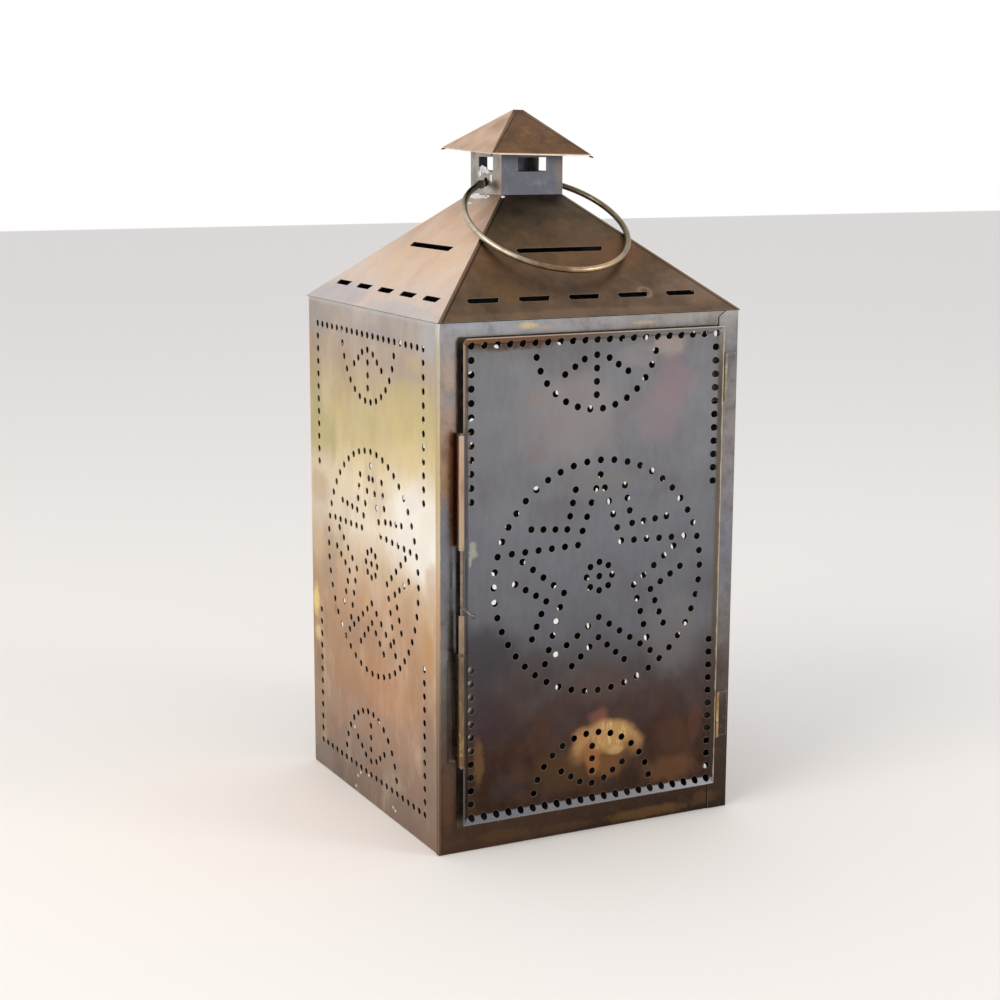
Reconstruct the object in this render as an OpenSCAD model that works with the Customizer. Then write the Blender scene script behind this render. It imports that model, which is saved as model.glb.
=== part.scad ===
// Punched-tin candle lantern: a square sheet-metal box with a hinged door, a
// slotted hip roof, a vented cupola with a cap, and a carrying ring.
// Millimetres, +Z up, front (door) toward -Y, origin on the floor under the
// middle of the body.

/* [Body] */
// Width and depth of the box, outside
body_w = 177; // [120:1:240]
// Height from the floor to the eave
body_h = 280; // [200:1:380]
// Thickness of the tinned sheet
sheet = 0.6; // [0.4:0.1:1]
// Room left between pieces that move past each other
clearance = 0.3; // [0.2:0.05:0.6]

/* [Front frame] */
// Width of the left upright
stile_left = 10.4; // [8:0.2:16]
// Width of the right upright, which is the folded edge of the right panel
stile_right = 11.9; // [9:0.2:18]
// Height of the top rail below the eave
rail_top = 8.6; // [5:0.2:16]
// Height of the bottom rail
rail_bottom = 14; // [12.5:0.5:30]
// Lap of the front frame round the near corner
corner_lap = 2.8; // [2:0.2:6]
// Width and height of the cut corner on the right upright
stile_cut = [4.2, 3.2];

/* [Punched pattern] */
// Diameter of each punched hole
punch_d = 3.8; // [2:0.1:5]
// Spacing of the border holes
punch_pitch = 7.25; // [6:0.05:9]
// Top and bottom rows from the ends of the wall
row_margin = 16; // [14:0.5:24]
// Least distance of the side columns from the edges of the wall
column_margin = 15.5; // [14:0.5:24]
// Plain length in the middle of each side column
column_gap = 88; // [20:1:120]
// First hole of the tulip's stem from its border row
stem_start = 7.9; // [6:0.1:9]
// Spacing of the four holes of the stem
stem_pitch = 6.95; // [6:0.05:8]
// Half circle over each tulip, in border spacings
arch_pitches = 5; // [4:1:6]
// Large circle of holes inside the side columns
circle_margin = 10; // [7:0.5:20]
// Holes round the large circle
circle_count = 48; // [36:1:54]
// Tips of the star inside the large circle
star_margin = 7.7; // [6:0.1:12]
// Depth of the star's valleys, as a share of its tips' distance
star_valley = 0.407; // [0.36:0.001:0.5]
// Spaces between holes along one edge of the star
star_steps = 5; // [4:1:6]
// Turn of the chevrons between the star's points, outside its valleys
chevron_out = 11.1; // [9:0.1:14]
// Spacing of the chevron's holes
chevron_pitch = 7.1; // [6:0.1:8]
// Angle of a chevron's arm to the line from the middle
chevron_angle = 49; // [40:1:60]
// Radius of the small rosette in the middle
rosette_r = 7.7; // [6:0.1:10]
// Star's centre from the border's centre, right and up
star_shift = [3, -1.8];
// Border's centre from the middle of a wall, right and up
wall_pattern_at = [-2.7, 0.3];
// Border's centre from the middle of the door, right and up
door_pattern_at = [0.7, -0.4];

/* [Roof] */
// Slope of the roof
roof_pitch = 40.1; // [30:0.1:50]
// Overhang of the roof beyond the walls
roof_overhang = 1; // [0.5:0.1:4]
// Height of a vent slot
slot_h = 3.5; // [2:0.1:5]
// Length of a lower vent slot
slot_len = 18.5; // [12:0.5:22]
// Spacing of the lower slots
slot_pitch = 29.3; // [24:0.1:31]
// Number of lower slots on each face
slot_count = 5; // [3:2:5]
// Lower slots from the eave, up the slope
slot_up = 12.9; // [10:0.1:20]
// Length of the upper slot
long_slot_len = 52; // [30:1:60]
// Upper slot from the eave, up the slope
long_slot_up = 48.2; // [40:0.2:56]

/* [Cupola and cap] */
// Width and depth of the cupola
cupola_w = 37.4; // [30:0.2:50]
// Depth of the cupola's walls below the top edge of the roof
cupola_tuck = 3; // [2:0.5:8]
// Width of each vent window
window_w = 17.5; // [10:0.5:24]
// Height of each vent window
window_h = 7.7; // [5:0.1:12]
// Foot of the windows above the top edge of the roof
window_up = 12.2; // [10.5:0.1:16]
// Width and depth of the cap at its eave
cap_w = 59.8; // [48:0.2:70]
// Eave of the cap above the top edge of the roof
cap_up = 23.4; // [21:0.1:30]
// Height of the cap from its eave to its ridge
cap_rise = 21.8; // [15:0.1:30]
// Length of the short ridge on top
cap_ridge = 6; // [2:0.5:12]
// Lean of the hand-soldered cap, forward and to the right, in degrees
cap_lean = [2.4, 1.2];

/* [Carrying ring] */
// Radius of the ring at the middle of its wire
ring_r = 45.2; // [38:0.1:55]
// Diameter of the ring's wire
ring_wire_d = 3.2; // [2.4:0.1:5]
// Ring holes above the top edge of the roof
ring_hole_up = 6.4; // [5:0.1:8]
// Diameter of the two ring holes
ring_hole_d = 5; // [4.4:0.1:7]
// Diameter of the solder lump that closes the ring
ring_lump_d = 8; // [5:0.2:9]

/* [Door] */
// Gap between the door plate and the front frame
door_stand_off = 1.7; // [1.4:0.1:3]
// Width of the flared lip round the door
lip_w = 4.7; // [3:0.1:8]
// Flare of the lip out of the door's plane
lip_angle = 37.6; // [20:0.2:60]
// Gap between the lip and the latch strips
door_gap_left = 0.4; // [0.3:0.1:2]
// Gap between the lip and the hinge knuckles
door_gap_right = 1.1; // [0.3:0.1:2]
// Gap between the lip and the bottom and top rails, seen from in front
door_gap_ends = [1.9, 0.3];
// Rounding of the door's upper left corner
lip_round = 3; // [1:0.5:6]

/* [Hinges] */
// Height of a hinge
hinge_len = 25.4; // [18:0.2:32]
// Middle of the lower hinge from the door's foot, and of the upper from its top
hinge_ends = [35.2, 24.1];
// Hinge axis inside the right face of the body
hinge_in = 8.5; // [7.5:0.1:10]
// Hinge axis in front of the body
hinge_out = 2.2; // [2.1:0.1:3]
// Thickness of a hinge leaf
leaf_t = 0.8; // [0.6:0.1:1]
// Width of the leaf on the right upright, from the axis
frame_leaf_w = 7; // [5:0.2:7.5]
// Width of the leaf behind the door, from the axis
door_leaf_w = 11.5; // [8:0.2:14]
// Diameter of the hinge pin
hinge_pin_d = 1.2; // [1:0.1:1.4]
// Outside radius of a knuckle
knuckle_r = 1.3; // [1.1:0.05:1.4]
// Height of the middle knuckle
knuckle_mid = 8.4; // [6:0.2:10]

/* [Latch] */
// Diameter of the latch rod
latch_rod_d = 1.6; // [1.2:0.1:2]
// Play between a turning rod or pin and its hole, all round
running_fit = 0.05; // [0.02:0.01:0.1]
// Thickness of the rolled strip that carries the rod
strip_t = 0.7; // [0.5:0.1:0.9]
// Gap between the turned lever and the door's lip
lever_gap = 0.55; // [0.3:0.05:2]
// Length of each latch strip
strip_len = 58.8; // [30:0.2:70]
// Bare length between the two strips
strip_gap = 56; // [34:1:70]
// Middle of the latch below the middle of the body
latch_drop = 4; // [-10:0.5:20]
// Start of a strip's foot inside the left face of the body
strip_in = 4; // [2:0.5:6]
// Width of the lower and the upper strip's foot, behind the left upright and the door's
// left column of holes
strip_foot = [16.7, 14];
// Height of the solder collar under the sleeve
collar_h = 1.7; // [1:0.1:3]
// Diameter of the solder collar
collar_d = 4.2; // [3.8:0.1:5]
// Length of the sleeve
sleeve_len = 20; // [10:0.5:24]
// Outside diameter of the sleeve
sleeve_d = 3.3; // [2.4:0.1:3.6]
// Lever above the sleeve
lever_up = 4.5; // [2:0.5:8]
// Reach of the lever from the rod
lever_len = 15; // [10:0.5:20]
// Drop of the lever from rod to tip
lever_dip = 1.8; // [0:0.1:4]
// Diameter of the solder drop on the lever's tip
lever_tip_d = 2.8; // [2:0.1:3]

/* [Candle base] */
// Height of the floor's turned-up edges
floor_flange = 8; // [5:0.5:12]
// Diameter of the drip pan
pan_d = 70; // [50:1:100]
// Height of the drip pan's rim
pan_h = 5; // [4.5:0.5:10]
// Thickness of the pan and the socket
pan_t = 0.5; // [0.4:0.1:0.8]
// Radius of the rolled edges of the pan and the socket
bead_r = 0.9; // [0.7:0.1:1.4]
// Inside diameter of the candle socket
socket_bore = 22; // [18:0.5:26]
// Height of the candle socket
socket_h = 28; // [15:1:40]
// Width of the socket's soldered foot
socket_foot = 4; // [2:0.5:6]
// Width of the back panel's side flanges
back_flange = 8; // [5:0.5:8]

/* [Hidden] */
$fn = 48;
half = body_w / 2;
cupola_half = cupola_w / 2;

// roof: its outer face starts at the eave height over each wall's outer face
roof_run = half - cupola_half;
roof_top = body_h + roof_run * tan(roof_pitch);
function roof_under(inward) = body_h - sheet / cos(roof_pitch) + inward * tan(roof_pitch);
wall_top = roof_under(0);                // a wall's outer edge meets the roof
lap_top = roof_under(-sheet);            // so does a lap one sheet further out

// punched pattern
border_rise = body_h - 2 * row_margin;
border_cols = 2 * floor((half - column_margin) / punch_pitch) + 1;
side_count = floor((border_rise - column_gap) / 2 / punch_pitch) + 1;
column_x = (border_cols - 1) / 2 * punch_pitch;
circle_r = column_x - circle_margin;
star_tip_r = circle_r - star_margin;
star_valley_r = star_valley * star_tip_r;

// cupola, cap and ring
window_z = roof_top + window_up;
cap_z = roof_top + cap_up;
ring_z = roof_top + ring_hole_up;
ring_hole_x = cupola_half - sheet / 2;   // where the wire's middle meets the wall
ring_reach = sqrt(pow(ring_r, 2) - pow(ring_hole_x, 2));

// the ring drops until its wire lies just clear of the roof's hips: a point a
// degrees round it, that point's distance from a hip, and the dip that is left
function ring_point(dip, a) = let (out = ring_reach + ring_r * sin(a))
  [ring_r * cos(a), -out * cos(dip), ring_z - out * sin(dip)];
hip_foot = [half, -half, body_h];
hip_way = [-1, 1, tan(roof_pitch)] / norm([-1, 1, tan(roof_pitch)]);
function hip_distance(dip) =
  min([for (a = [0 : 0.5 : 90]) norm(cross(ring_point(dip, a) - hip_foot, hip_way))]);
function settled_dip(dip, step) =
  hip_distance(dip + step) > ring_wire_d / 2 + clearance ? settled_dip(dip + step, step)
  : step > dip_fineness ? settled_dip(dip, step / 4)
  : dip;
dip_fineness = 0.01;
ring_dip = settled_dip(0, 1);

// hinges and door, measured from the middle of the body
hinge_at = [half - hinge_in, -half - hinge_out];
knuckle_bore = hinge_pin_d + 2 * running_fit;
lip_out = lip_w * cos(lip_angle);
door_x = [-half + stile_left + strip_t + door_gap_left + lip_out,
          hinge_at[0] - knuckle_r - door_gap_right - lip_out];
door_z = [rail_bottom + door_gap_ends[0] + lip_out,
          body_h - rail_top - door_gap_ends[1] - lip_out];
door_mid = [(door_x[0] + door_x[1]) / 2, (door_z[0] + door_z[1]) / 2];
door_back = -half - door_stand_off;
hinge_z = [door_z[0] + hinge_ends[0], door_z[1] - hinge_ends[1]];

// latch
roll_r = latch_rod_d / 2 + running_fit + strip_t;
lip_front = door_stand_off + lip_w * sin(lip_angle) + sheet * cos(lip_angle);
latch_at = [-half + stile_left + strip_t - roll_r,
            -half - lip_front - lever_gap - latch_rod_d / 2];
strip_x = latch_at[0] + roll_r - strip_t;         // left face of a strip's web
latch_mid = body_h / 2 - latch_drop;
strip_low = [latch_mid - strip_gap / 2 - strip_len, latch_mid - strip_gap / 2];
strip_high = [latch_mid + strip_gap / 2, latch_mid + strip_gap / 2 + strip_len];
sleeve_foot = strip_low[1] + clearance + collar_h;
sleeve_z = [sleeve_foot, sleeve_foot + sleeve_len];
lever_z = sleeve_z[1] + lever_up;

// candle base
flange_top = sheet + floor_flange;
pan_floor = sheet + pan_t;

// ---- punched pattern, drawn flat: x to the right and y up, seen from outside

module punch_row(count, step) {
  for (i = [0 : count - 1]) translate(i * step) circle(d = punch_d);
}

// tulip under its half circle; it hangs from the middle of a border row
module tulip() {
  arch_r = arch_pitches * punch_pitch;
  for (a = [12 : 12 : 168]) rotate(-a) translate([arch_r, 0]) circle(d = punch_d);
  translate([0, -stem_start]) {
    punch_row(4, [0, -stem_pitch]);
    for (side = [-1, 1], leaf = [[7.4, -1.9], [12.9, -5.6], [18.8, -9.35]])
      translate([side * leaf[0], leaf[1]]) circle(d = punch_d);
  }
}

module border() {
  for (up = [-1, 1]) {
    translate([-column_x, up * border_rise / 2]) punch_row(border_cols, [punch_pitch, 0]);
    for (side = [-1, 1]) translate([side * column_x, up * (border_rise / 2 - punch_pitch)])
      punch_row(side_count - 1, [0, -up * punch_pitch]);
  }
  translate([0, border_rise / 2]) tulip();
  mirror([0, 1]) translate([0, border_rise / 2]) tulip();
}

// five-pointed star in a circle, a chevron in each gap and a rosette in the middle
module star() {
  tip = [0, star_tip_r];
  valley = star_valley_r * [sin(36), cos(36)];
  for (i = [0 : circle_count - 1])
    rotate(i * 360 / circle_count) translate([0, circle_r]) circle(d = punch_d);
  for (point = [0 : 4]) rotate(-72 * point) {
    translate(tip) circle(d = punch_d);
    translate(valley) circle(d = punch_d);
    for (side = [-1, 1]) {
      step = ([side * valley[0], valley[1]] - tip) / star_steps;
      translate(tip + step) punch_row(star_steps - 1, step);
    }
    rotate(-36) translate([0, star_valley_r + chevron_out]) {
      circle(d = punch_d);
      for (side = [-1, 1]) rotate(side * chevron_angle)
        translate([0, chevron_pitch]) punch_row(3, [0, chevron_pitch]);
    }
  }
  circle(d = punch_d);
  for (a = [0 : 45 : 315]) rotate(a) translate([rosette_r, 0]) circle(d = punch_d);
}

module pattern(at) {
  translate(at) {
    border();
    translate(star_shift) star();
  }
}

// ---- walls

// a flat shape stood up in the plane of one side: its outer face looks out of
// side 0 front, 1 right, 2 back, 3 left, "out" in front of the body's face
module stand(side, out = 0, t = sheet) {
  rotate([0, 0, 90 * side]) translate([0, t - half - out, 0]) rotate([90, 0, 0])
    linear_extrude(t) children();
}

// rectangle between two heights and two places across
module span(x, z) {
  translate([x[0], z[0]]) square([x[1] - x[0], z[1] - z[0]]);
}

module punched_wall(x) {
  difference() {
    span(x, [0, wall_top]);
    pattern([0, body_h / 2] + wall_pattern_at);
  }
}

// left wall, tucked between the front frame and the back's outer edge
module left_panel() {
  color([0.62, 0.58, 0.5]) stand(3) punched_wall([-half, half - sheet]);
}

// right wall; its front edge is folded over the rails and makes the right upright
module right_panel() {
  color([0.6, 0.56, 0.5]) {
    stand(1) punched_wall([-half, half]);
    stand(0, sheet, 2 * sheet) span([half - sheet, half], [0, lap_top]);
    stand(0, sheet) difference() {
      span([half - stile_right, half], [0, lap_top]);
      translate([half - stile_right, lap_top])
        polygon([[-1, 1], [-1, -stile_cut[1]], [0, -stile_cut[1]], [stile_cut[0], 0],
                 [stile_cut[0], 1]]);
    }
  }
}

// back wall between the side walls, with a flange soldered inside each of them
module back_panel() {
  edge = half - sheet;
  color([0.6, 0.57, 0.5]) {
    stand(2) punched_wall([-edge, edge]);
    for (x = [-edge, edge - sheet]) translate([x, edge - back_flange, flange_top + 1])
      cube([sheet, back_flange + sheet, wall_top - flange_top - 2]);
  }
}

// left upright and both rails in one sheet, lapped round the near corner
module front_frame() {
  color([0.5, 0.5, 0.5]) {
    stand(0) difference() {
      span([-half - sheet, half - sheet], [0, wall_top]);
      span([-half + stile_left, half], [rail_bottom, body_h - rail_top]);
    }
    stand(3, sheet) span([half - corner_lap, half], [0, lap_top]);
  }
}

// floor with its four edges turned up inside the walls
module floor_pan() {
  inside = half - sheet;
  color([0.45, 0.43, 0.4]) {
    translate([-inside, -inside, 0]) cube([2 * inside, 2 * inside, sheet]);
    for (side = [0 : 3]) stand(side, -sheet) span([2 - inside, inside - 2], [0, flange_top]);
  }
}

// ---- candle base

// a sheet-metal round: the outline from out to in, thick enough to be turned
module drip_pan() {
  rim = pan_d / 2 - bead_r;
  color([0.7, 0.69, 0.66]) translate([0, 0, sheet]) rotate_extrude() {
    polygon([[0, 0], [rim - 3, 0], [rim, pan_h - bead_r], [rim - pan_t, pan_h - bead_r],
             [rim - 3 - pan_t, pan_t], [0, pan_t]]);
    translate([rim, pan_h - bead_r]) circle(r = bead_r);
  }
}

module candle_socket() {
  color([0.7, 0.69, 0.66]) translate([0, 0, pan_floor]) rotate_extrude() {
    translate([socket_bore / 2, 0]) square([pan_t, socket_h - bead_r]);
    translate([socket_bore / 2, 0]) square([pan_t + socket_foot, pan_t]);
    translate([socket_bore / 2 + bead_r, socket_h - bead_r]) circle(r = bead_r);
  }
}

// ---- roof

// vent cut with a chisel: round at the left end, slanted at the right
module vent(len, h) {
  translate([(h - len) / 2, 0]) circle(d = h);
  polygon([[(h - len) / 2, -h / 2], [len / 2 - h / 2, -h / 2], [len / 2, h / 2],
           [(h - len) / 2, h / 2]]);
}

// one slope, drawn flat with the eave line at y = 0
module slope() {
  eave = half + roof_overhang;
  eave_y = -roof_overhang / cos(roof_pitch);
  top_y = (roof_run + sheet) / cos(roof_pitch);
  difference() {
    translate([-eave, eave_y]) square([2 * eave, top_y - eave_y]);
    for (i = [0 : slot_count - 1])
      translate([(i - (slot_count - 1) / 2) * slot_pitch, slot_up]) vent(slot_len, slot_h);
    translate([0, long_slot_up]) vent(long_slot_len, slot_h);
  }
}

// a slope lifted to its pitch, mitred to its neighbours and trimmed to the cupola
module roof_side(side) {
  reach = half + 2 * roof_overhang;
  rotate([0, 0, 90 * side]) intersection() {
    translate([0, -half, body_h]) rotate([roof_pitch, 0, 0]) translate([0, 0, -sheet])
      linear_extrude(sheet) slope();
    translate([0, 0, body_h - rail_top]) linear_extrude(body_h)
      polygon([[-reach, -reach], [reach, -reach], [cupola_half, -cupola_half],
               [-cupola_half, -cupola_half]]);
  }
}

module roof_front() { color([0.45, 0.38, 0.32]) roof_side(0); }
module roof_right() { color([0.5, 0.42, 0.36]) roof_side(1); }
module roof_back() { color([0.45, 0.38, 0.32]) roof_side(2); }
module roof_left() { color([0.66, 0.56, 0.48]) roof_side(3); }

// ---- cupola and cap

module at_cap() {
  translate([0, 0, cap_z]) rotate([cap_lean[0], cap_lean[1], 0]) children();
}

// the plane of one side of the cap: y up the slope from the eave and z out of it
module cap_slope(side) {
  run = cap_w / 2 - (side % 2 == 0 ? 0 : cap_ridge / 2);
  rotate([0, 0, 90 * side]) translate([0, -cap_w / 2, 0])
    rotate([atan(cap_rise / run), 0, 0]) children();
}

// all that lies under the cap's four slopes moved in by drop, over a square in plan
module under_cap(drop, width) {
  difference() {
    translate([-width / 2, -width / 2, -cap_w]) cube([width, width, 2 * cap_w]);
    for (side = [0 : 3]) cap_slope(side)
      translate([-2 * cap_w, -cap_w, -drop]) cube([4 * cap_w, 3 * cap_w, 3 * cap_w]);
  }
}

// four plates with mitred hips and a short ridge along X
module cap() {
  color([0.48, 0.4, 0.33]) at_cap() difference() {
    under_cap(0, cap_w);
    under_cap(sheet, 2 * cap_w);
  }
}

// four walls with a window each and the ring's two holes, cut to the leaning cap
module cupola() {
  inner = cupola_half - sheet;
  color([0.5, 0.52, 0.54]) difference() {
    translate([-cupola_half, -cupola_half, roof_top - cupola_tuck])
      cube([cupola_w, cupola_w, cap_up + cap_rise]);
    translate([-inner, -inner, 0]) cube([2 * inner, 2 * inner, 2 * body_h]);
    for (a = [0, 90]) rotate([0, 0, a]) translate([-window_w / 2, -half, window_z])
      cube([window_w, body_w, window_h]);
    translate([-half, 0, ring_z]) rotate([0, 90, 0]) cylinder(d = ring_hole_d, h = body_w);
    at_cap() for (side = [0 : 3]) cap_slope(side)
      translate([-cap_w, -cap_w, -sheet]) cube([2 * cap_w, 3 * cap_w, cap_w]);
  }
}

// ---- carrying ring

// places the ring's plane: x along the hole axis, y up the ring away from its grip
module ring_plane() {
  translate([0, 0, ring_z]) rotate([ring_dip, 0, 0]) translate([0, -ring_reach, 0]) children();
}

module ring_wire() {
  rotate_extrude($fn = 96) translate([ring_r, 0]) circle(d = ring_wire_d);
}

module ring_handle() {
  color([0.6, 0.6, 0.6]) ring_plane() ring_wire();
}

// lump of solder over the ring's joint, clear of the cupola's left wall
module ring_solder() {
  lump_x = -cupola_half - clearance - ring_lump_d / 2;
  lump_y = sqrt(pow(ring_r, 2) - pow(lump_x, 2));
  color([0.75, 0.75, 0.74]) ring_plane() difference() {
    translate([lump_x, lump_y, 0]) sphere(d = ring_lump_d);
    ring_wire();
  }
}

// ---- door

// one lip in section: x out past the door's edge and y toward the front, with the
// inside of the fold at the origin
module lip_section() {
  tip = lip_w * [cos(lip_angle), sin(lip_angle)];
  through = sheet * [-sin(lip_angle), cos(lip_angle)];
  fold = sheet * [-tan(lip_angle / 2), 1];
  polygon([[-1, 0], [0, 0], tip, tip + through, fold, [-1, sheet]]);
}

// lip along one edge, 0 foot, 1 left, 2 top, 3 right, mitred at both ends
module door_lip(side) {
  w = door_x[1] - door_x[0];
  h = door_z[1] - door_z[0];
  reach = (side % 2 == 0 ? w : h) / 2;
  edge = (side % 2 == 0 ? h : w) / 2;
  rotate([0, 90 * side, 0]) intersection() {
    translate([reach + lip_w, 0, -edge]) rotate([180, 90, 0])
      linear_extrude(2 * (reach + lip_w)) lip_section();
    rotate([90, 0, 0]) linear_extrude(2 * lip_w)
      polygon([[1 - reach, 1 - edge], [-reach - lip_w, -edge - lip_w],
               [reach + lip_w, -edge - lip_w], [reach - 1, 1 - edge]]);
  }
}

// door skin; the border holes run into its folds, as they do on a real one
module door_panel() {
  corner = [door_x[0], door_z[1]] + lip_out * [-1, 1];
  color([0.42, 0.42, 0.46]) difference() {
    union() {
      stand(0, door_stand_off + sheet) span(door_x, door_z);
      translate([door_mid[0], door_back, door_mid[1]])
        for (side = [0 : 3]) door_lip(side);
    }
    stand(0, door_stand_off + 2 * lip_w, 3 * lip_w) {
      pattern(door_mid + door_pattern_at);
      difference() {
        translate(corner - [1, lip_round - 1]) square(lip_round);
        translate(corner + lip_round * [1, -1]) circle(r = lip_round);
      }
    }
  }
}

// ---- hinges, drawn round their own axis with the frame's side toward +X

module at_hinge(which) {
  translate([hinge_at[0], hinge_at[1], hinge_z[which]]) children();
}

module knuckle(z, bore) {
  translate([0, 0, z[0]]) difference() {
    cylinder(r = knuckle_r, h = z[1] - z[0]);
    cylinder(d = bore, h = 3 * hinge_len, center = true);
  }
}

// leaf on the right upright, with the lower and upper knuckle gripping the pin
module hinge_frame_leaf(which) {
  top = hinge_len / 2;
  inner = knuckle_mid / 2 + clearance;
  color([0.4, 0.38, 0.36]) at_hinge(which) {
    knuckle([-top, -inner], hinge_pin_d);
    knuckle([inner, top], hinge_pin_d);
    difference() {
      translate([0, hinge_out - sheet - leaf_t, -top]) cube([frame_leaf_w, leaf_t, hinge_len]);
      translate([-1, 0, -inner])
        cube([1 + knuckle_r + clearance, hinge_out, 2 * inner]);
    }
  }
}

// leaf behind the door plate, with the middle knuckle turning on the pin
module hinge_door_leaf(which) {
  top = hinge_len / 2;
  back = hinge_out - door_stand_off;
  color([0.4, 0.38, 0.36]) at_hinge(which) {
    knuckle([-knuckle_mid / 2, knuckle_mid / 2], knuckle_bore);
    difference() {
      translate([-door_leaf_w, back, -top]) cube([door_leaf_w, leaf_t, hinge_len]);
      cylinder(d = knuckle_bore, h = hinge_len, center = true);
      for (up = [0, 1]) mirror([0, 0, up])
        translate([-knuckle_r - clearance, 0, knuckle_mid / 2])
          cube([2 * knuckle_r, hinge_out, hinge_len]);
    }
  }
}

// pin with both ends peened over the outer knuckles
module hinge_pin(which) {
  head = [0.95, 0.4];
  color([0.6, 0.6, 0.6]) at_hinge(which) {
    cylinder(d = hinge_pin_d, h = hinge_len, center = true);
    for (up = [0, 1]) mirror([0, 0, up]) translate([0, 0, hinge_len / 2])
      cylinder(r = head[0], h = head[1]);
  }
}

module lower_hinge_frame_leaf() { hinge_frame_leaf(0); }
module upper_hinge_frame_leaf() { hinge_frame_leaf(1); }
module lower_hinge_door_leaf() { hinge_door_leaf(0); }
module upper_hinge_door_leaf() { hinge_door_leaf(1); }
module lower_hinge_pin() { hinge_pin(0); }
module upper_hinge_pin() { hinge_pin(1); }

// ---- latch

// tin strip soldered behind the left upright, brought forward past its edge and
// rolled round the rod; its foot also stops the door from falling inward
module latch_strip(z, foot) {
  seam = 0.3;
  back = sheet - half;
  color([0.5, 0.48, 0.45]) translate([0, 0, z[0]]) linear_extrude(z[1] - z[0]) {
    translate([strip_x, latch_at[1]]) square([strip_t, back + strip_t - latch_at[1]]);
    translate([-half + strip_in, back]) square([foot, strip_t]);
    difference() {
      translate(latch_at) circle(r = roll_r);
      translate(latch_at) circle(r = roll_r - strip_t);
      translate(latch_at) square([seam, roll_r]);
    }
  }
}

module lower_latch_strip() { latch_strip(strip_low, strip_foot[0]); }
module upper_latch_strip() { latch_strip(strip_high, strip_foot[1]); }

module rod_cut() {
  translate([latch_at[0], latch_at[1], 0]) cylinder(d = latch_rod_d, h = body_h);
}

module latch_rod() {
  color([0.55, 0.54, 0.52]) translate([latch_at[0], latch_at[1], strip_low[0] - 1])
    cylinder(d = latch_rod_d, h = strip_high[1] - strip_low[0] + 2);
}

// tin sleeve that rests on the lower strip and stiffens the grip
module latch_sleeve() {
  color([0.55, 0.52, 0.48]) difference() {
    translate([latch_at[0], latch_at[1], sleeve_z[0]])
      cylinder(d = sleeve_d, h = sleeve_z[1] - sleeve_z[0]);
    rod_cut();
  }
}

// y along the lever from the rod to its tip
module at_lever() {
  translate([latch_at[0], latch_at[1], lever_z])
    rotate([180 + asin(lever_dip / lever_len), 0, 0]) children();
}

module lever_wire() {
  at_lever() rotate([-90, 0, 0]) cylinder(d = latch_rod_d, h = lever_len);
}

module latch_lever() {
  color([0.55, 0.54, 0.52]) difference() {
    lever_wire();
    rod_cut();
  }
}

// solder: a collar under the sleeve and a drop on the lever's tip
module latch_solder() {
  color([0.75, 0.75, 0.74]) {
    difference() {
      translate([latch_at[0], latch_at[1], sleeve_z[0] - collar_h])
        cylinder(d = collar_d, h = collar_h);
      rod_cut();
    }
    difference() {
      at_lever() translate([0, lever_len - lever_tip_d / 4, 0]) sphere(d = lever_tip_d);
      lever_wire();
    }
  }
}

floor_pan();
left_panel();
back_panel();
right_panel();
front_frame();
drip_pan();
candle_socket();
roof_front();
roof_left();
roof_back();
roof_right();
cupola();
cap();
lower_latch_strip();
upper_latch_strip();
latch_rod();
latch_sleeve();
latch_lever();
latch_solder();
lower_hinge_frame_leaf();
upper_hinge_frame_leaf();
lower_hinge_pin();
upper_hinge_pin();
lower_hinge_door_leaf();
upper_hinge_door_leaf();
door_panel();
ring_handle();
ring_solder();
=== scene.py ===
"""Looks of a punched-tin candle lantern: heat-darkened tinplate, solder and wire.

The CAD nodes come in at their places and take their finishes here, in the order in which
the lantern is put together. Metres, +Z up, the door toward -Y.
"""
import math

import bmesh
import bpy
from mathutils import Matrix, Vector, noise


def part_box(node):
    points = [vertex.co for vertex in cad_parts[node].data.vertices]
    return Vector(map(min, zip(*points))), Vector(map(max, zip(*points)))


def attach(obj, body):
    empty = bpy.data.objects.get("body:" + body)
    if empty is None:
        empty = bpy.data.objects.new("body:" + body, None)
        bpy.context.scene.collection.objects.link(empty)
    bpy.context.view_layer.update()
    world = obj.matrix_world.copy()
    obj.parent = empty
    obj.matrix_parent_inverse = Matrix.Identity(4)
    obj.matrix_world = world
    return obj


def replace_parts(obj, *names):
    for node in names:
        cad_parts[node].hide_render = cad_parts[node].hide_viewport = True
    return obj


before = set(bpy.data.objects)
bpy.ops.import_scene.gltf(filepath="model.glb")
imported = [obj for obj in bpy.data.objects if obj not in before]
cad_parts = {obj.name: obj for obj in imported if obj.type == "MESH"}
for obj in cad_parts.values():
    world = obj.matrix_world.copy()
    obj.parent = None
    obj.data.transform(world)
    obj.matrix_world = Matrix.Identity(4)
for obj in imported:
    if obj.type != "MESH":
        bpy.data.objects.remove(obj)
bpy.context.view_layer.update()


# ---------------------------------------------------- floor, drip pan, candle socket
# The floor is a square of tinplate with its edges turned up and soldered inside the walls.
# The drip pan is pressed, with a rolled rim, and the socket is a rolled tube soldered to
# it. Candle soot has dulled all three to a dark brown.
MM = 0.001


def srgb(code):
    """Linear RGBA from a hex code as seen on screen."""
    parts = [int(code[i:i + 2], 16) / 255 for i in (0, 2, 4)]
    return [p / 12.92 if p <= 0.04045 else ((p + 0.055) / 1.055) ** 2.4 for p in parts] + [1]


def add(mat, kind, settings=None, **inputs):
    """A node; settings are its own values, and inputs are numbers or sockets to link."""
    made = mat.node_tree.nodes.new("ShaderNode" + kind)
    for key, value in (settings or {}).items():
        setattr(made, key, value)
    for key, value in inputs.items():
        socket = made.inputs[int(key[1:]) if key[1:].isdigit() else key.replace("_", " ")]
        if isinstance(value, bpy.types.NodeSocket):
            mat.node_tree.links.new(value, socket)
        else:
            socket.default_value = value
    return made


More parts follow.
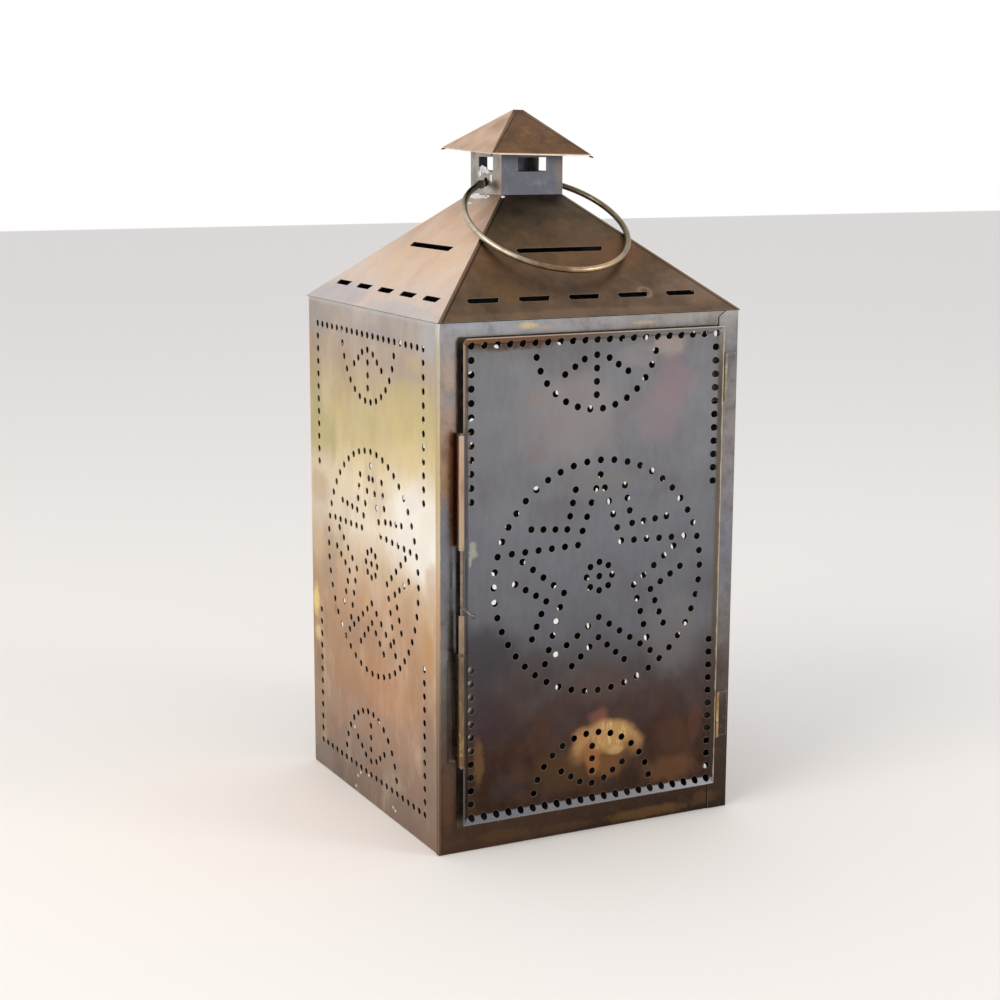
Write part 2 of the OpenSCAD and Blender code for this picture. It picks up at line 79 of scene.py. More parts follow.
def maths(mat, how, a, b=0.0, clamp=False):
    return add(mat, "Math", {"operation": how, "use_clamp": clamp}, i0=a, i1=b).outputs[0]


def place(mat):
    """Object coordinates in millimetres."""
    at = add(mat, "TexCoord").outputs["Object"]
    return add(mat, "VectorMath", {"operation": "SCALE"}, i0=at, Scale=1000).outputs[0]


def grain(mat, at, size, stretch=(1, 1, 1), detail=3.0):
    """Noise from 0 to 1 with grains of about size millimetres, longer where stretched."""
    scaled = add(mat, "VectorMath", {"operation": "DIVIDE"}, i0=at,
                 i1=[size * s for s in stretch]).outputs[0]
    return add(mat, "TexNoise", Vector=scaled, Scale=1.0, Detail=detail).outputs[0]


def ramp(mat, value, low, high, clear=0.0, full=1.0):
    """Smooth step of value between low and high."""
    return add(mat, "MapRange", {"interpolation_type": "SMOOTHSTEP"}, Value=value,
               From_Min=low, From_Max=high, To_Min=clear, To_Max=full).outputs[0]


def tint(mat, under, over, mask, share=1.0):
    """Over laid on under where the mask says, up to share; a hex code or a socket each."""
    under, over = (srgb(c) if isinstance(c, str) else c for c in (under, over))
    factor = mask if share == 1.0 else maths(mat, "MULTIPLY", mask, share)
    return add(mat, "Mix", {"data_type": "RGBA"}, i0=factor, i6=under, i7=over).outputs[2]


def mottle(mat, at, colour, dark, light, size=14, share=0.5, stretch=(1, 1, 1)):
    """Cloudy dark and light patches over a colour."""
    cloud = grain(mat, at, size, stretch, 5.0)
    colour = tint(mat, colour, dark, ramp(mat, cloud, 0.52, 0.3), share)
    return tint(mat, colour, light, ramp(mat, cloud, 0.52, 0.72), share)


def worn_edges(mat, radius):
    """Mask of the sheet's edges and the punched rims, rubbed unevenly."""
    rounded = add(mat, "Bevel", {"samples": 6}, Radius=radius * MM).outputs[0]
    flat = add(mat, "NewGeometry").outputs["Normal"]
    same = add(mat, "VectorMath", {"operation": "DOT_PRODUCT"}, i0=rounded, i1=flat)
    return ramp(mat, same.outputs["Value"], 0.985, 0.82)


def metal(name, paint, rough=0.4, wear=0.6, worn="C9C0B4", brush=0.012, dents=0.25,
          lumps=0.0, lie=(1, 1, 40)):
    """A metal finish. paint gives its colour; wear is how bright its edges are rubbed; brush,
    dents and lumps are heights in millimetres of the fine lines along lie, dents and blobs."""
    mat = bpy.data.materials.new(name)
    mat.use_nodes = True
    mat.node_tree.nodes.clear()
    at = place(mat)
    colour = paint(mat, at)
    speck = ramp(mat, grain(mat, at, 1.3, detail=2.0), 0.68, 0.76)
    colour = tint(mat, colour, "3A2A20", speck, 0.35)
    edge = worn_edges(mat, 0.5)
    colour = tint(mat, colour, worn, edge, wear)
    cloud = grain(mat, at, 17, detail=4.0)
    lines = grain(mat, at, 0.5, lie, 2.0)
    gloss = maths(mat, "ADD", ramp(mat, cloud, 0.3, 0.7, rough - 0.07, rough + 0.09),
                  maths(mat, "MULTIPLY", maths(mat, "SUBTRACT", lines, 0.5), 0.12))
    height = maths(mat, "ADD", maths(mat, "MULTIPLY", lines, brush),
                   maths(mat, "MULTIPLY", grain(mat, at, 48, detail=1.0), dents))
    if lumps:
        height = maths(mat, "ADD", height,
                       maths(mat, "MULTIPLY", grain(mat, at, 2.2, detail=2.0), lumps))
    soft = add(mat, "Bevel", {"samples": 4}, Radius=0.15 * MM).outputs[0]
    bump = add(mat, "Bump", Strength=1.0, Distance=MM, Height=height, Normal=soft)
    shader = add(mat, "BsdfPrincipled", Base_Color=colour, Metallic=1.0,
                 Roughness=gloss, Normal=bump.outputs[0])
    add(mat, "OutputMaterial", Surface=shader.outputs[0])
    return mat


def wear_on(mat, *names):
    """Gives CAD nodes or made pieces their finish."""
    for name in names:
        mesh = bpy.data.objects[name].data
        mesh.materials.clear()
        mesh.materials.append(mat)


def soot_and_shade_tin(mat, at):
    return mottle(mat, at, srgb("4E443C"), "2E2824", "75685A", 9, 0.5)


inner_tin = metal("soot_and_painted_shade_tinplate", soot_and_shade_tin, 0.5, 0.4)
wear_on(inner_tin, "floor_pan", "drip_pan", "candle_socket")


# ---------------------------------------------------- left wall
# A sheet of tinplate, punched from outside and soldered at its edges. It is painted as the lit
# side, lighter than the others: its cream and gold, browner toward the foot, with a green-gold
# band that climbs toward the near corner, are mostly painted reflection over the patina, with a
# painted cream-white glow at mid height. Yellow stains lie by the far corner.
WALL = 88  # a level within the body's sheets, from the middle, mm


def along(mat, at, axis):
    return add(mat, "SeparateXYZ", Vector=at).outputs["XYZ".index(axis)]


def spot(mat, at, centre, radii, ragged=0.5, grain_mm=9, soft=0.65):
    """Mask of a stain: 1 in the middle, 0 outside radii, with an uneven edge that fades
    over the share soft of the radii."""
    off = add(mat, "VectorMath", {"operation": "SUBTRACT"}, i0=at, i1=centre).outputs[0]
    scaled = add(mat, "VectorMath", {"operation": "DIVIDE"}, i0=off, i1=radii).outputs[0]
    far = add(mat, "VectorMath", {"operation": "LENGTH"}, i0=scaled).outputs["Value"]
    uneven = maths(mat, "MULTIPLY", grain(mat, at, grain_mm), ragged)
    edge = 1.05 + ragged / 2
    return ramp(mat, maths(mat, "ADD", far, uneven), edge - soft, edge, 1, 0)


def stained(mat, at, colour, axis, level, through, coarse, stains):
    """Lays stains on a sheet that stands at a level on the X or Y axis, reaching through
    it. Each is (across, height, half width, half height, hex code, share)."""
    for across, z, wide, tall, code, share in stains:
        centre, radii = (across, level, z), (wide, through, tall)
        if axis == "X":
            centre, radii = (level, across, z), (through, wide, tall)
        mask = spot(mat, at, centre, radii, 0.8, min(wide, tall) * coarse)
        colour = tint(mat, colour, code, mask, share)
    return colour


def bands(mat, value, stops):
    """Colour along a value in millimetres; stops are (place, hex code), lowest first."""
    low, high = stops[0][0], stops[-1][0]
    share = maths(mat, "DIVIDE", maths(mat, "SUBTRACT", value, low), high - low, clamp=True)
    scale = add(mat, "ValToRGB", i0=share)
    marks = scale.color_ramp.elements
    for i, (where, code) in enumerate(stops):
        mark = marks[i] if i < 2 else marks.new(1.0)
        mark.position = (where - low) / (high - low)
        mark.color = srgb(code)
    return scale.outputs[0]


def wobbled(mat, at, axis, size=26, reach=26):
    """The coordinate along axis, pushed up to half of reach either way by noise."""
    push = maths(mat, "MULTIPLY", maths(mat, "SUBTRACT", grain(mat, at, size), 0.5), reach)
    return maths(mat, "ADD", along(mat, at, axis), push)


def facing(mat, axis, sign):
    """Mask of the faces that look along one of the piece's own axes, sign 1 or -1."""
    normal = add(mat, "TexCoord").outputs["Normal"]
    return ramp(mat, maths(mat, "MULTIPLY", along(mat, normal, axis), sign), 0.25, 0.6)


def darken_inner_side(mat, colour, axis, sign):
    """Darkens the side turned to the candle, which the photo's holes show as near black."""
    return tint(mat, colour, "221D19", facing(mat, axis, sign), 0.85)


def gold_corner(mat, at, colour, axis):
    """The fold between the left wall and the front is rubbed to a line of gold."""
    line = bands(mat, wobbled(mat, at, "Z", 12, 12), [
        (0, "6E5440"), (60, "7E6448"), (105, "B8966A"), (140, "E8BC88"), (165, "EED8AC"),
        (200, "E4CC94"), (240, "D4C8A0"), (262, "DCD0B4"), (280, "E4E2DA")])
    return tint(mat, colour, line, ramp(mat, wobbled(mat, at, axis, 5, 0.9), -87.5, -88.2), 0.7)


def left_wall(mat, at):
    colour = bands(mat, wobbled(mat, at, "Z", 34, 16), [
        (0, "8A7466"), (24, "967E6E"), (47, "AA8A74"), (69, "B88E6C"), (92, "BE9674"),
        (114, "CAA482"), (136, "DCC2A2"), (158, "F8EAD4"), (182, "F8E8C8"),
        (200, "EAD6A6"), (218, "DECC98"), (234, "D2BE98"), (252, "C4B09C"), (280, "BCB4B0")])
    far = ramp(mat, along(mat, at, "Y"), 10, 84)
    colour = tint(mat, colour, "A88C66", far, 0.3)
    colour = mottle(mat, at, colour, "A88060", "F0E0C8", 20, 0.25, (1, 1, 1.6))
    colour = mottle(mat, at, colour, "A07C60", "E8D4B8", 5, 0.1, (1, 1, 3))
    # The first stain, cream-white at mid height by the near corner, is a painted reflection.
    colour = stained(mat, at, colour, "X", -WALL, 20, 0.7, (
            (-66, 168, 56, 36, "FFFAF0", 0.9), (72, 203, 34, 17, "BEB878", 0.5),
            (8, 212, 48, 16, "CDC08A", 0.4), (-52, 230, 42, 20, "D6C888", 0.45),
            (-20, 72, 40, 22, "C48E68", 0.4), (-76, 268, 16, 13, "BCC0C4", 0.6),
            (-18, 267, 30, 6, "A8A4A8", 0.45), (74, 268, 26, 12, "A4A2A0", 0.5),
            (-58, 255, 12, 7, "D2BC8C", 0.5), (-74, 108, 10, 18, "C89E66", 0.5),
            (-76, 48, 14, 42, "84766C", 0.5), (60, 6, 50, 16, "70645E", 0.6),
            (-30, 8, 60, 14, "7E7068", 0.2), (30, 26, 44, 14, "8A7468", 0.4),
            (83, 100, 6, 12, "F0D88E", 0.95), (81, 81, 6, 6, "E6D096", 0.8),
            (6, 114, 5, 7, "DCB87E", 0.5), (62, 128, 16, 26, "A48E7E", 0.4),
            (52, 101, 5, 4, "9C7C66", 0.5), (80, 62, 8, 12, "8E7258", 0.5),
            (20, 96, 22, 12, "A08470", 0.35), (-40, 250, 26, 8, "B4A8A0", 0.35),
            (40, 28, 4, 3, "9C7C66", 0.5), (-83, 116, 3, 8, "D8A868", 0.5),
            (76, 169, 18, 14, "B89468", 0.35), (76, 136, 16, 12, "E0C29A", 0.4),
            (80, 230, 14, 22, "A8A074", 0.3), (-80, 145, 10, 14, "D0A880", 0.5)))
    # White flecks near the foot, and a painted highlight: the pale rim under the eave.
    for y, z in ((32, 37), (26, 38), (22, 10), (18, 13), (6, 15), (25, 3), (-28, 7), (-31, 6)):
        fleck = spot(mat, at, (-WALL, y, z), (20, 1.6, 1.1), 0.5, 1.5)
        colour = tint(mat, colour, "F6F2EC", fleck, 0.8)
    rim = ramp(mat, wobbled(mat, at, "Z", 9, 2), 275.5, 278.5)
    colour = tint(mat, colour, "D2D4D4", rim, 0.5)
    return darken_inner_side(mat, gold_corner(mat, at, colour, "Y"), "X", 1)


left_tin = metal("gold_tinplate_with_painted_glow", left_wall, 0.42, 0.5, "F0E6D4", brush=0.007)
wear_on(left_tin, "left_panel")


# ---------------------------------------------------- front frame
# The left upright, the top rail and the bottom rail are one sheet of tinplate, lapped round
# the near corner. It is blue-grey above and brown at the foot, with gold and rust stains.
# The upright is glossy, and beside the latch it carries painted reflection and shade: dark
# bands where it mirrors the strips' backs and by the sleeve, a lighter band by the lower strip,
# and thin dark lines round that strip's foot.


def bar(mat, at, low, high, soft):
    """Mask of an upright rectangle on the front, from low to high in X and Z."""
    mask = 1.0
    for axis, start, end in zip("XZ", low, high):
        value = along(mat, at, axis)
        mask = maths(mat, "MULTIPLY", mask, ramp(mat, value, start - soft, start + soft))
        mask = maths(mat, "MULTIPLY", mask, ramp(mat, value, end + soft, end - soft))
    return mask


def frame_sheet(mat, at):
    height = wobbled(mat, at, "Z", 30, 18)
    left = bands(mat, height, [
        (0, "4E3A2E"), (14, "48362C"), (50, "54463E"), (80, "625C58"), (105, "747272"),
        (135, "747478"), (165, "7C7C84"), (190, "8C7C72"), (215, "A08670"), (240, "A29086"),
        (262, "A29A98"), (280, "9A9CA2")])
    right = bands(mat, height, [
        (0, "342A24"), (14, "3E3028"), (50, "423834"), (85, "5C5450"), (105, "74706E"),
        (150, "787880"), (220, "86807F"), (258, "6E6E72"), (280, "96928E")])
    colour = tint(mat, left, right, ramp(mat, along(mat, at, "X"), -60, 60))
    light = bands(mat, along(mat, at, "Z"), [(20, "5E4E3E"), (120, "8A888C"), (280, "A6A4A4")])
    colour = mottle(mat, at, colour, "463A34", light, 11, 0.3)
    colour = mottle(mat, at, colour, "40342E", light, 3, 0.14)
    # The dark stains at -79 and -78, beside the two strips, are painted shade.
    colour = stained(mat, at, colour, "Y", -WALL, 20, 0.8, (
            (-38, 275.8, 7, 2.2, "D2BC8A", 0.75), (-29, 274.5, 7, 1.4, "C0A080", 0.5),
            (-70, 277, 12, 3, "A8ACB4", 0.5), (30, 274.5, 9, 1.6, "BEA88C", 0.5),
            (-83, 252, 4, 12, "BCA494", 0.5), (-85, 200, 3, 14, "AC8258", 0.35),
            (-85, 176, 4, 16, "727888", 0.5), (-83, 240, 4, 6, "8A90A0", 0.4),
            (-79, 195, 5, 34, "5A4034", 0.5), (-78, 80, 4, 34, "3A3436", 0.3),
            (-84, 30, 4, 26, "6A4A36", 0.5), (-52, 5.5, 20, 4, "5E4630", 0.6),
            (-14, 4, 22, 3, "5A4632", 0.6), (38, 4, 34, 4, "6E5234", 0.75),
            (74, 7, 10, 5, "5E4430", 0.6)))
    # Painted reflection and shade beside the latch: a red-brown and a dark band by the upper
    # strip, its back mirrored; a dark band of painted shade by the sleeve; a lighter band of
    # painted reflection by the lower strip; and three thin dark lines round that strip's foot.
    for low, high, soft, code, share in (
            ((-82.0, 165.2), (-77, 223.4), 0.35, "A06A4C", 0.85),
            ((-80.5, 165.2), (-77, 223.4), 0.7, "1E1410", 0.9),
            ((-79.3, 108), (-77, 165), 0.4, "2A2828", 0.6),
            ((-82.6, 50), (-79.6, 105), 0.4, "94887F", 0.7),
            ((-84.3, 50), (-83.9, 105), 0.15, "2A2220", 0.6),
            ((-84.3, 104.7), (-80, 105.2), 0.15, "2A2220", 0.6),
            ((-84.3, 49.8), (-80, 50.4), 0.15, "2A2220", 0.6)):
        colour = tint(mat, colour, code, bar(mat, at, low, high, soft), share)
    return darken_inner_side(mat, gold_corner(mat, at, colour, "X"), "Y", 1)


frame_tin = metal("blue_grey_tinplate", frame_sheet, 0.27, 0.5)
wear_on(frame_tin, "front_frame")


def piece(name, bm, mat, body, smooth=True):
    """A closed mesh that rides on a body, with the record's slot it belongs to."""
    bmesh.ops.recalc_face_normals(bm, faces=bm.faces)
    mesh = bpy.data.meshes.new(name)
    bm.to_mesh(mesh)
    bm.free()
    for face in mesh.polygons:
        face.use_smooth = smooth
    obj = bpy.data.objects.new(name, mesh)
    bpy.context.scene.collection.objects.link(obj)
    mesh.materials.append(mat)
    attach(obj, body)
    return obj


def plate(bm, outline, front, back):
    """Adds a flat sheet: an outline in X and Z between two places in Y, millimetres."""
    face = bm.faces.new([bm.verts.new(Vector((x, front, z)) * MM) for x, z in outline])
    grown = bmesh.ops.extrude_face_region(bm, geom=[face])["geom"]
    far = [part for part in grown if isinstance(part, bmesh.types.BMVert)]
    bmesh.ops.translate(bm, verts=far, vec=(0, (back - front) * MM, 0))


# The gap round the door is dark in the photo, so the upright and the top rail reach a
# little further in behind the door's lip, as a sheet painted dark for the shade in the gap. It
# leaves room for the latch strips' feet.
outer, inner, foot, rail_foot, top, rail_end = -81, -73.5, 13, 269.8, 274, 75.8
behind, clear = (-87.88, -87.28), 0.4  # back of the frame; room beside a strip's foot
feet = [corner.z / MM for name in ("lower_latch_strip", "upper_latch_strip")
        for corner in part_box(name)]
edge = bmesh.new()
for low, high in ((foot, feet[0] - clear), (feet[1] + clear, feet[2] - clear)):
    plate(edge, [(outer, low), (inner, low), (inner, high), (outer, high)], *behind)
low = feet[3] + clear
plate(edge, [(outer, low), (inner, low), (inner, rail_foot), (rail_end, rail_foot),
             (rail_end, top), (outer, top)], *behind)
# Its dark finish here is painted shade in the gap.
piece("frame_inner_edge", edge, inner_tin, "lantern", smooth=False)


# ---------------------------------------------------- right and back walls
# The same punched sheets, duller, as the photo never shows them, but for the right wall's
# folded edge: it is the front's right upright and has the front frame's colours.


def plain_wall(mat, at):
    colour = bands(mat, wobbled(mat, at, "Z", 38, 40), [
        (0, "6E5E52"), (60, "8A7765"), (130, "9C8E7E"), (200, "A69A88"), (280, "938C84")])
    return mottle(mat, at, colour, "75655A", "B9A98E", 20, 0.5)


def back_wall(mat, at):
    return darken_inner_side(mat, plain_wall(mat, at), "Y", -1)


def right_wall(mat, at):
    wall = darken_inner_side(mat, plain_wall(mat, at), "X", -1)
    return tint(mat, wall, frame_sheet(mat, at), facing(mat, "Y", -1))


back_tin = metal("dull_tinplate", back_wall, 0.44, 0.5)
right_tin = metal("dull_tinplate_blue_edge", right_wall, 0.42, 0.5)
wear_on(back_tin, "back_panel")
wear_on(right_tin, "right_panel")


# ---------------------------------------------------- roof
# Four slopes of bronzed tinplate, slotted and soldered along the hips, where a lapped seam
# shows as a dark line with a lighter edge. The left slope is painted pale and pinkish as the lit
# side; the others are dark bronze brown, with a pale ring stain by a slot.


def lapped(mat, at, colour, off, half_wide):
    across = maths(mat, "ABSOLUTE", along(mat, at, "X"))
    in_from_hip = maths(mat, "SUBTRACT", maths(mat, "ABSOLUTE", along(mat, at, "Y")), across)
    off_line = maths(mat, "ABSOLUTE", maths(mat, "SUBTRACT", in_from_hip, off))
    line = ramp(mat, off_line, half_wide, half_wide / 3)
    colour = tint(mat, colour, "2A221C", line, 0.75)
    return tint(mat, colour, "8A7058", ramp(mat, in_from_hip, off * 0.7, off * 0.5), 0.5)


def pale_lit_slope(mat, at):
    # The left slope is painted lighter as the lit side.
    colour = bands(mat, wobbled(mat, at, "Z", 30, 26), [
        (278, "CEC0B8"), (292, "D8C2B2"), (305, "DCBEA0"), (325, "C8A68C"), (340, "A88E7A")])
    colour = mottle(mat, at, colour, "BA9A84", "E2D0C0", 22, 0.3)
    for centre, radii, code, share in (
            ((-84, 60, 283), (14, 60, 10), "B2AEB4", 0.65),
            ((-86, -40, 281), (8, 60, 5), "B8B4B6", 0.5),
            ((-50, 44, 310), (20, 20, 14), "C2AE9E", 0.4),
            ((-30, -20, 328), (14, 10, 10), "B08E74", 0.4)):
        colour = tint(mat, colour, code, spot(mat, at, centre, radii, 0.8, 14), share)
    colour = mottle(mat, at, colour, "B4927A", "E6D4C4", 4, 0.08)
    return darken_inner_side(mat, colour, "Z", -1)


def dark_slope(mat, at):
    colour = bands(mat, wobbled(mat, at, "Z", 30, 26), [
        (278, "6C5644"), (292, "5E4C3C"), (305, "664C36"), (325, "564838"), (340, "5A5048")])
    colour = mottle(mat, at, colour, "443628", "7E6044", 13, 0.5)
    colour = mottle(mat, at, colour, "40322A", "806448", 4, 0.16)
    scratch = ramp(mat, grain(mat, at, 0.6, (1, 9, 9), 2.0), 0.72, 0.78)
    colour = tint(mat, colour, "9A8672", scratch, 0.2)
    for centre, radii, code, share in (
            ((72, -60, 288), (34, 40, 14), "8A7060", 0.6),
            ((30, -52, 308), (24, 20, 10), "74523A", 0.6),
            ((-44, -76, 292), (16, 14, 8), "6E5232", 0.5),
            ((4, -40, 322), (12, 10, 6), "6E5038", 0.45),
            ((0, -86, 281), (80, 6, 2.5), "7A6654", 0.5)):
        colour = tint(mat, colour, code, spot(mat, at, centre, radii, 0.8, 9), share)
    disc = spot(mat, at, (37, -77, 289), (5.5, 5.5, 5), 0.15, 3)
    core = spot(mat, at, (37, -77, 289), (3.8, 3.8, 3.6), 0.15, 3)
    colour = tint(mat, colour, "AC9480", maths(mat, "SUBTRACT", disc, core, True), 0.6)
    return darken_inner_side(mat, lapped(mat, at, colour, 2.6, 0.9), "Z", -1)


flat_lie = (6, 6, 6)
lit_pale_roof = metal("pale_lit_bronzed_tinplate", pale_lit_slope, 0.42, 0.5, "F0E4D6", lie=flat_lie)
dark_roof = metal("dark_bronzed_tinplate", dark_slope, 0.42, 0.45, lie=flat_lie)
wear_on(lit_pale_roof, "roof_left")
wear_on(dark_roof, "roof_front", "roof_right", "roof_back")


# ---------------------------------------------------- cupola
# A square box of tinplate with a window cut in each side, soldered on the roof. Its walls
# are blue-grey, the left one painted paler as the lit side, with brown burns by the near corner.


def cupola_sheet(mat, at):
    # The left wall is painted paler as the lit side.
    left = facing(mat, "X", -1)
    colour = tint(mat, "60626A", "ACA49C", left)
    colour = mottle(mat, at, colour, "54504E", "8A8A8C", 6, 0.3)
    seam = spot(mat, at, (-18.7, -17.7, 345), (0.6, 1.1, 10), 0.4, 3)
    colour = tint(mat, colour, "C09478", seam, 0.8)
    for y, z, wide, tall, code in ((-12, 343, 5, 4.5, "7A5840"), (14, 346, 5, 9, "7C7A7C"),
                                   (-2, 341, 7, 3, "C8C4BE")):
        stain = spot(mat, at, (-18.7, y, z), (2, wide, tall), 0.7, 3)
        colour = tint(mat, colour, code, stain, 0.6)
    warm = spot(mat, at, (17, -18.7, 352), (4, 2, 12), 0.8, 4)
    return tint(mat, colour, "80705F", warm, 0.5)


cupola_tin = metal("blue_grey_cupola_tinplate", cupola_sheet, 0.4, 0.5, "B8AEA6")
wear_on(cupola_tin, "cupola")


# ---------------------------------------------------- cap
# A pyramid of bronzed tinplate on the cupola, its left slope painted pale as the lit side and
# the rest bronze, with a dark lapped seam by each hip. Its foot is turned under to a thin bright
# hem, which curls at each corner.


def cap_sheet(mat, at):
    bronze = mottle(mat, at, srgb("6E5038"), "4C3A2C", "86643E", 9, 0.5)
    bronze = mottle(mat, at, bronze, "523C2C", "9A7A58", 3, 0.22)
    bronze = lapped(mat, at, bronze, 1.3, 0.6)
    apex = spot(mat, at, (0, 0, 386), (9, 9, 9), 0.5, 4)
    bronze = tint(mat, bronze, "4C4038", apex, 0.7)
    # The pale colour is the left slope painted as the lit side.
    pale = mottle(mat, at, srgb("C6A68C"), "AA8268", "D8BEA6", 9, 0.4)
    pale = tint(mat, pale, "9C7860", spot(mat, at, (-12, -6, 376), (8, 10, 7), 0.8, 4), 0.5)
    return darken_inner_side(mat, tint(mat, bronze, pale, facing(mat, "X", -1)), "Z", -1)


cap_tin = metal("bronzed_cap_tinplate", cap_sheet, 0.42, 0.6, "E2CDB8", lie=flat_lie)
wear_on(cap_tin, "cap")

cap_corners = [Vector(c) for c in ((-29.9, -29.85, 360.8), (29.85, -29.85, 359.55),
                                   (29.9, 29.9, 362.05), (-29.9, 29.9, 363.3))]
cap_middle = sum(cap_corners, Vector()) / 4
hem_profile = ((-0.15, -0.35), (0.75, -0.35), (0.75, 0.25), (-0.15, 0.45))  # in, up
hem = bmesh.new()
rows = []
for corner in cap_corners:
    inward = (cap_middle - corner).normalized() * math.sqrt(2)
    rows.append([hem.verts.new((corner + inward * step + Vector((0, 0, lift))) * MM)
                 for step, lift in hem_profile])
for near, far in zip(rows, rows[1:] + rows[:1]):
    for i in range(4):
        j = (i + 1) % 4
        hem.faces.new((near[i], near[j], far[j], far[i]))
hem_tin = metal("worn_hem_tinplate", lambda mat, at: mottle(
    mat, at, srgb("D8C4AE"), "A88C70", "F0E4D6", 5, 0.5), 0.34, 0.3, "F0E6DA", dents=0)
piece("cap_hem", hem, hem_tin, "lantern", smooth=False)

curl_len, curl_wide, curl_thick = 1.5, 0.75, 0.55
curls = bmesh.new()
for corner in cap_corners:
    outward = (corner - cap_middle).normalized()
    made = bmesh.ops.create_icosphere(curls, subdivisions=3, radius=1)["verts"]
    side = outward.cross(Vector((0, 0, 1)))
    for vert in made:
        x, y, z = vert.co
        droop = 0.3 + 0.35 * (x + 1) ** 2 / 2
        vert.co = (corner + outward * (0.2 + curl_len * x) + side * (curl_wide - 0.25 * x) * y
                   + Vector((0, 0, 1)) * (curl_thick * z - droop)) * MM
curl_tin = metal("dark_curl_tinplate", lambda mat, at: mottle(
    mat, at, srgb("6E5E4E"), "3C3228", "A0907C", 3, 0.5), 0.36, 0.3, dents=0)
piece("cap_corner_curls", curls, curl_tin, "lantern")


# ---------------------------------------------------- latch
# Tin strips are rolled round an upright wire that turns in them, with a tin sleeve and a
# short wire lever held by drops of solder. The strips are heat-tinted, tan above and brown
# with gold flecks below; their feet, seen through the door's holes, are painted bright as lit
# through them.


def tan_strip(mat, at):
    colour = bands(mat, wobbled(mat, at, "Z", 16, 10), [
        (44, "7A6244"), (60, "7E6646"), (80, "725E4A"), (104, "74624E"), (112, "8E7A66"),
        (130, "9C8670"), (150, "A08C78"), (168, "B6A48C"), (190, "B89A80"), (208, "BA9C84"),
        (226, "C8B09C")])
    colour = mottle(mat, at, colour, "54423A", "B49A78", 4, 0.35, (1, 1, 3))
    low = ramp(mat, along(mat, at, "Z"), 112, 60)
    fleck = ramp(mat, grain(mat, at, 2.4, detail=2.0), 0.58, 0.68)
    colour = tint(mat, colour, "C0A064", maths(mat, "MULTIPLY", fleck, low), 0.6)
    # The feet are painted bright, as light through the door's holes falls on them.
    foot = ramp(mat, along(mat, at, "Y"), -88.9, -88.3)
    bright = bands(mat, along(mat, at, "Z"), [(100, "E8E2D2"), (170, "A8A6A4"), (222, "B8A28C")])
    bright = mottle(mat, at, bright, "A49A88", "F0ECE2", 6, 0.4, (1, 1, 2))
    return tint(mat, colour, bright, maths(mat, "MULTIPLY", foot, facing(mat, "Y", -1)))


strip_tin = metal("heat_tinted_tinplate", tan_strip, 0.4, 0.6, "E2D4C2")
wear_on(strip_tin, "lower_latch_strip", "upper_latch_strip", "latch_sleeve")


def drawn_wire(mat, at):
    return mottle(mat, at, srgb("8A7C6E"), "5A4A3E", "B0A698", 5, 0.6)


def lever_wire(mat, at):
    return mottle(mat, at, srgb("A4A4A8"), "6A686A", "D4D2D0", 3, 0.6)


def burnt_solder(mat, at):
    colour = mottle(mat, at, srgb("625C52"), "38342E", "8C877C", 2.5, 0.6)
    by_wall = ramp(mat, along(mat, at, "X"), -22.6, -20.8)
    return tint(mat, colour, "B4B2AE", by_wall, 0.7)


wire_steel = metal("dull_drawn_wire", drawn_wire, 0.34, 0.2, dents=0)
lever_steel = metal("bright_drawn_wire", lever_wire, 0.3, 0.2, dents=0)
dull_solder = metal("burnt_tin_solder", burnt_solder, 0.36, 0.1, dents=0, lumps=0.15)
wear_on(wire_steel, "latch_rod", "lower_hinge_pin", "upper_hinge_pin")
wear_on(lever_steel, "latch_lever")
wear_on(dull_solder, "latch_solder")


# ---------------------------------------------------- hinges
# Butt hinges of rolled sheet steel, their leaves soldered on. A leaf on the frame has the
# upright's colour and the one behind the door is darkened to near black, as the door's holes
# show; the knuckles are rubbed bright.


def hinge_sheet(mat, at):
    leaf = mottle(mat, at, frame_sheet(mat, at), "4A423E", "80787A", 4, 0.3)
    rubbed = bands(mat, along(mat, at, "Z"), [(68, "A48258"), (230, "968C78")])
    knuckle = mottle(mat, at, rubbed, "5C4A3A", "CDBFA4", 3, 0.5, (1, 1, 2))
    across = along(mat, at, "X")
    rolled = maths(mat, "MULTIPLY", ramp(mat, across, 81.8, 81.3), ramp(mat, across, 78.2, 78.7))
    leaf = tint(mat, leaf, "221E1B", ramp(mat, across, 78.6, 77.8), 0.9)
    return tint(mat, leaf, knuckle, rolled)


hinge_steel = metal("darkened_hinge_steel", hinge_sheet, 0.38, 0.6, dents=0)
wear_on(hinge_steel, "lower_hinge_frame_leaf", "upper_hinge_frame_leaf",
        "lower_hinge_door_leaf", "upper_hinge_door_leaf")


# ---------------------------------------------------- door
# A punched sheet of tinplate with its four lips flared out. It is blue-grey above, dark
# brown toward the foot, warmer in the middle and pink by the top right, with a bare tan
# patch at the foot, rust by the left edge and a pale scrape.
DOOR = 90  # a level within the door's sheet, from the middle, mm


